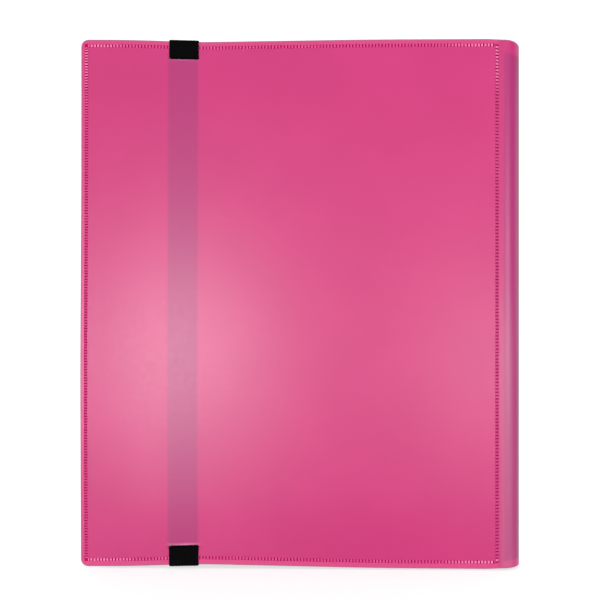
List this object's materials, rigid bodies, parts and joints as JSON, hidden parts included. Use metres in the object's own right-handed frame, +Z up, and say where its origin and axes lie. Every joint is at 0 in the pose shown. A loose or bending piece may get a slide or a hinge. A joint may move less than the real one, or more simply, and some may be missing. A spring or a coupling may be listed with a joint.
{
  "type": "trading card binder",
  "caption": "Sheet plastic card binder with a rounded spine, a sewn-look welded edge, an elastic closure band and hinged pages of side-loading clear pockets.",
  "frame": {"origin": "under the middle of the closed binder standing upright, level with the underside of the elastic band", "axes": "+Z up along the spine, back cover faces -Y, front cover faces +Y, spine at +X, fore edge at -X"},
  "size_m": [0.269, 0.0348, 0.3248],
  "materials": {
    "cover_sheet": "frosted translucent pink sheet, fine grain, soft sheen",
    "lining_sheet": "frosted pink sheet, fine grain",
    "elastic": "black woven elastic, lengthwise ribs",
    "page_sheet": "black sheet, fine grain",
    "pocket_film": "clear smooth film"
  },
  "bodies": {
    "back_cover": {"back_cover_sheet": "cover_sheet", "back_inner_lining": "lining_sheet", "elastic_fixed_run": "elastic"},
    "spine": {"spine_sheet": "cover_sheet", "back_hinge_strip": "cover_sheet", "front_hinge_strip": "cover_sheet", "page_root_block": "page_sheet"},
    "front_cover": {"front_cover_sheet": "cover_sheet", "front_inner_lining": "lining_sheet"},
    "closure_loop": {"elastic_loop": "elastic"},
    "page_01": {"page_01_backing": "page_sheet", "page_01_pockets": "pocket_film"},
    "page_02": {"page_02_backing": "page_sheet", "page_02_pockets": "pocket_film"},
    "page_03": {"page_03_backing": "page_sheet", "page_03_pockets": "pocket_film"},
    "page_04": {"page_04_backing": "page_sheet", "page_04_pockets": "pocket_film"},
    "page_05": {"page_05_backing": "page_sheet", "page_05_pockets": "pocket_film"},
    "page_06": {"page_06_backing": "page_sheet", "page_06_pockets": "pocket_film"},
    "page_07": {"page_07_backing": "page_sheet", "page_07_pockets": "pocket_film"},
    "page_08": {"page_08_backing": "page_sheet", "page_08_pockets": "pocket_film"},
    "page_09": {"page_09_backing": "page_sheet", "page_09_pockets": "pocket_film"},
    "page_10": {"page_10_backing": "page_sheet", "page_10_pockets": "pocket_film"},
    "page_11": {"page_11_backing": "page_sheet", "page_11_pockets": "pocket_film"},
    "page_12": {"page_12_backing": "page_sheet", "page_12_pockets": "pocket_film"},
    "page_13": {"page_13_backing": "page_sheet", "page_13_pockets": "pocket_film"},
    "page_14": {"page_14_backing": "page_sheet", "page_14_pockets": "pocket_film"},
    "page_15": {"page_15_backing": "page_sheet", "page_15_pockets": "pocket_film"},
    "page_16": {"page_16_backing": "page_sheet", "page_16_pockets": "pocket_film"},
    "page_17": {"page_17_backing": "page_sheet", "page_17_pockets": "pocket_film"},
    "page_18": {"page_18_backing": "page_sheet", "page_18_pockets": "pocket_film"},
    "page_19": {"page_19_backing": "page_sheet", "page_19_pockets": "pocket_film"},
    "page_20": {"page_20_backing": "page_sheet", "page_20_pockets": "pocket_film"}
  },
  "joints": [
    {"name": "open", "type": "hinge", "parent": "back_cover", "child": "spine", "pos_m": [0.1285, -0.0105, 0.1624], "axis": [0, 0, -1], "range_deg": [0, 90], "deforming": ["back_hinge_strip"]},
    {"name": "front_cover_hinge", "type": "hinge", "parent": "spine", "child": "front_cover", "pos_m": [0.1285, 0.0105, 0.1624], "axis": [0, 0, -1], "range_deg": [0, 90], "deforming": ["front_hinge_strip"]},
    {"name": "closure_loop_swing", "type": "hinge", "parent": "back_cover", "child": "closure_loop", "pos_m": [-0.0712, -0.01695, 0.1624], "axis": [0, 0, 1], "range_deg": [0, 180], "deforming": ["elastic_loop"]},
    {"name": "page_01_turn", "type": "hinge", "parent": "spine", "child": "page_01", "pos_m": [0.1258, -0.0133, 0.1624], "axis": [0, 0, -1], "range_deg": [-81.43, 0]},
    {"name": "page_02_turn", "type": "hinge", "parent": "spine", "child": "page_02", "pos_m": [0.1258, -0.0119, 0.1624], "axis": [0, 0, -1], "range_deg": [-72.86, 0]},
    {"name": "page_03_turn", "type": "hinge", "parent": "spine", "child": "page_03", "pos_m": [0.1258, -0.0105, 0.1624], "axis": [0, 0, -1], "range_deg": [-64.29, 0]},
    {"name": "page_04_turn", "type": "hinge", "parent": "spine", "child": "page_04", "pos_m": [0.1258, -0.0091, 0.1624], "axis": [0, 0, -1], "range_deg": [-55.71, 0]},
    {"name": "page_05_turn", "type": "hinge", "parent": "spine", "child": "page_05", "pos_m": [0.1258, -0.0077, 0.1624], "axis": [0, 0, -1], "range_deg": [-47.14, 0]},
    {"name": "page_06_turn", "type": "hinge", "parent": "spine", "child": "page_06", "pos_m": [0.1258, -0.0063, 0.1624], "axis": [0, 0, -1], "range_deg": [-38.57, 0]},
    {"name": "page_07_turn", "type": "hinge", "parent": "spine", "child": "page_07", "pos_m": [0.1258, -0.0049, 0.1624], "axis": [0, 0, -1], "range_deg": [-30, 0]},
    {"name": "page_08_turn", "type": "hinge", "parent": "spine", "child": "page_08", "pos_m": [0.1258, -0.0035, 0.1624], "axis": [0, 0, -1], "range_deg": [-21.43, 0]},
    {"name": "page_09_turn", "type": "hinge", "parent": "spine", "child": "page_09", "pos_m": [0.1258, -0.0021, 0.1624], "axis": [0, 0, -1], "range_deg": [-12.86, 0]},
    {"name": "page_10_turn", "type": "hinge", "parent": "spine", "child": "page_10", "pos_m": [0.1258, -0.0007, 0.1624], "axis": [0, 0, -1], "range_deg": [-4.29, 0]},
    {"name": "page_11_turn", "type": "hinge", "parent": "spine", "child": "page_11", "pos_m": [0.1258, 0.0007, 0.1624], "axis": [0, 0, -1], "range_deg": [0, 4.29]},
    {"name": "page_12_turn", "type": "hinge", "parent": "spine", "child": "page_12", "pos_m": [0.1258, 0.0021, 0.1624], "axis": [0, 0, -1], "range_deg": [0, 12.86]},
    {"name": "page_13_turn", "type": "hinge", "parent": "spine", "child": "page_13", "pos_m": [0.1258, 0.0035, 0.1624], "axis": [0, 0, -1], "range_deg": [0, 21.43]},
    {"name": "page_14_turn", "type": "hinge", "parent": "spine", "child": "page_14", "pos_m": [0.1258, 0.0049, 0.1624], "axis": [0, 0, -1], "range_deg": [0, 30]},
    {"name": "page_15_turn", "type": "hinge", "parent": "spine", "child": "page_15", "pos_m": [0.1258, 0.0063, 0.1624], "axis": [0, 0, -1], "range_deg": [0, 38.57]},
    {"name": "page_16_turn", "type": "hinge", "parent": "spine", "child": "page_16", "pos_m": [0.1258, 0.0077, 0.1624], "axis": [0, 0, -1], "range_deg": [0, 47.14]},
    {"name": "page_17_turn", "type": "hinge", "parent": "spine", "child": "page_17", "pos_m": [0.1258, 0.0091, 0.1624], "axis": [0, 0, -1], "range_deg": [0, 55.71]},
    {"name": "page_18_turn", "type": "hinge", "parent": "spine", "child": "page_18", "pos_m": [0.1258, 0.0105, 0.1624], "axis": [0, 0, -1], "range_deg": [0, 64.29]},
    {"name": "page_19_turn", "type": "hinge", "parent": "spine", "child": "page_19", "pos_m": [0.1258, 0.0119, 0.1624], "axis": [0, 0, -1], "range_deg": [0, 72.86]},
    {"name": "page_20_turn", "type": "hinge", "parent": "spine", "child": "page_20", "pos_m": [0.1258, 0.0133, 0.1624], "axis": [0, 0, -1], "range_deg": [0, 81.43]}
  ],
  "couplings": [
    {"joint": "front_cover_hinge", "follows": "open", "ratio": 1},
    {"joint": "closure_loop_swing", "follows": "open", "ratio": 2},
    {"joint": "page_01_turn", "follows": "open", "ratio": -0.90476},
    {"joint": "page_02_turn", "follows": "open", "ratio": -0.80952},
    {"joint": "page_03_turn", "follows": "open", "ratio": -0.71429},
    {"joint": "page_04_turn", "follows": "open", "ratio": -0.61905},
    {"joint": "page_05_turn", "follows": "open", "ratio": -0.52381},
    {"joint": "page_06_turn", "follows": "open", "ratio": -0.42857},
    {"joint": "page_07_turn", "follows": "open", "ratio": -0.33333},
    {"joint": "page_08_turn", "follows": "open", "ratio": -0.2381},
    {"joint": "page_09_turn", "follows": "open", "ratio": -0.14286},
    {"joint": "page_10_turn", "follows": "open", "ratio": -0.047619},
    {"joint": "page_11_turn", "follows": "open", "ratio": 0.047619},
    {"joint": "page_12_turn", "follows": "open", "ratio": 0.14286},
    {"joint": "page_13_turn", "follows": "open", "ratio": 0.2381},
    {"joint": "page_14_turn", "follows": "open", "ratio": 0.33333},
    {"joint": "page_15_turn", "follows": "open", "ratio": 0.42857},
    {"joint": "page_16_turn", "follows": "open", "ratio": 0.52381},
    {"joint": "page_17_turn", "follows": "open", "ratio": 0.61905},
    {"joint": "page_18_turn", "follows": "open", "ratio": 0.71429},
    {"joint": "page_19_turn", "follows": "open", "ratio": 0.80952},
    {"joint": "page_20_turn", "follows": "open", "ratio": 0.90476}
  ]
}
